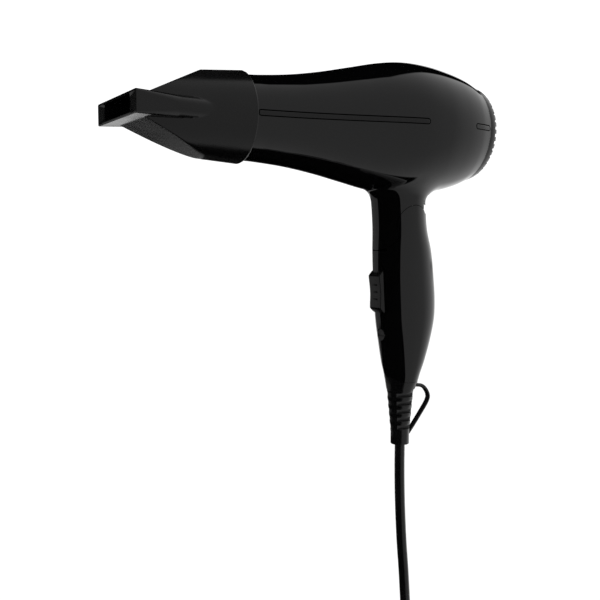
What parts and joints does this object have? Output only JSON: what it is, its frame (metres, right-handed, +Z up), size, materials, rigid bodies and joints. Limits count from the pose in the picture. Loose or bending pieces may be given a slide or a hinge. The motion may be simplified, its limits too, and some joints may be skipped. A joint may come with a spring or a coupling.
{
  "type": "hair dryer",
  "caption": "Small pistol-shaped hair dryer with a folding handle, flat concentrator nozzle, rear inlet cap, slide switch, hanging loop and a tied mains cord.",
  "frame": {"origin": "middle of the grip, on the handle's centre line", "axes": "+Z up the handle, -X along the barrel towards the nozzle, +Y to the side with the screw heads"},
  "size_m": [0.2329, 0.079, 0.5191],
  "materials": {
    "gloss_shell": "high gloss black",
    "satin_plastic": "satin black",
    "steel": "plain steel",
    "brass": "plain brass",
    "mica": "pressed mica board",
    "white_plastic": "moulded natural plastic",
    "soft_rubber": "soft matte black",
    "diode_epoxy": "moulded epoxy",
    "board": "coated circuit board",
    "lead_brown": "wire insulation",
    "lead_blue": "wire insulation",
    "tie_strap": "woven strap"
  },
  "bodies": {
    "handle": {"handle_left": "gloss_shell", "handle_right": "gloss_shell", "handle_screw_1": "steel", "handle_screw_2": "steel", "hinge_pin": "steel", "plug_pin_left": "brass", "plug_pin_right": "brass", "switch_module": "white_plastic", "voltage_switch": "white_plastic", "cord_clamp": "white_plastic", "strain_relief": "soft_rubber", "mains_cord": "soft_rubber", "cord_hank": "soft_rubber", "cord_tail": "soft_rubber", "mains_plug": "soft_rubber", "cord_sheath_end": "soft_rubber", "diode_1": "diode_epoxy", "diode_2": "diode_epoxy", "diode_3": "diode_epoxy", "diode_4": "diode_epoxy", "rectifier_board": "board", "lead_brown": "lead_brown", "lead_blue": "lead_blue", "hank_tie": "tie_strap"},
    "barrel": {"barrel_left": "gloss_shell", "barrel_right": "gloss_shell", "side_strip_front_left": "satin_plastic", "side_strip_front_right": "satin_plastic", "side_strip_rear_left": "satin_plastic", "side_strip_rear_right": "satin_plastic", "outlet_grille": "satin_plastic", "mica_sleeve": "mica", "mica_plate_upright": "mica", "mica_plate_level": "mica", "heater_coil_low": "steel", "heater_coil_high": "steel", "thermostat": "brass", "thermal_fuse": "steel", "fan_housing": "satin_plastic", "motor_can": "steel"},
    "nozzle": {"concentrator_nozzle": "satin_plastic"},
    "inlet": {"inlet_cap": "gloss_shell", "inlet_filter": "steel"},
    "rotor": {"motor_shaft": "steel", "fan_impeller": "white_plastic"},
    "switch_button": {"switch_button": "satin_plastic"},
    "voltage_dial": {"voltage_dial": "satin_plastic"}
  },
  "joints": [
    {"name": "barrel_fold", "type": "hinge", "parent": "handle", "child": "barrel", "pos_m": [-0.0003, 0, 0.046], "axis": [0, 1, 0], "range_deg": [0, 80]},
    {"name": "nozzle_turn", "type": "hinge", "parent": "barrel", "child": "nozzle", "pos_m": [-0.122, 0, 0.1046], "axis": [1, 0, 0], "continuous": true},
    {"name": "inlet_cap_pull", "type": "slide", "parent": "barrel", "child": "inlet", "axis": [1, 0, 0], "range_m": [0, 0.014]},
    {"name": "fan_spin", "type": "hinge", "parent": "barrel", "child": "rotor", "pos_m": [0.009, 0, 0.1046], "axis": [1, 0, 0], "continuous": true},
    {"name": "switch_slide", "type": "slide", "parent": "handle", "child": "switch_button", "axis": [-0.052, 0, 0.9986], "range_m": [0, 0.008]},
    {"name": "voltage_turn", "type": "hinge", "parent": "handle", "child": "voltage_dial", "pos_m": [-0.012, 0, -0.021], "axis": [1, 0, 0], "range_deg": [0, 90]}
  ]
}
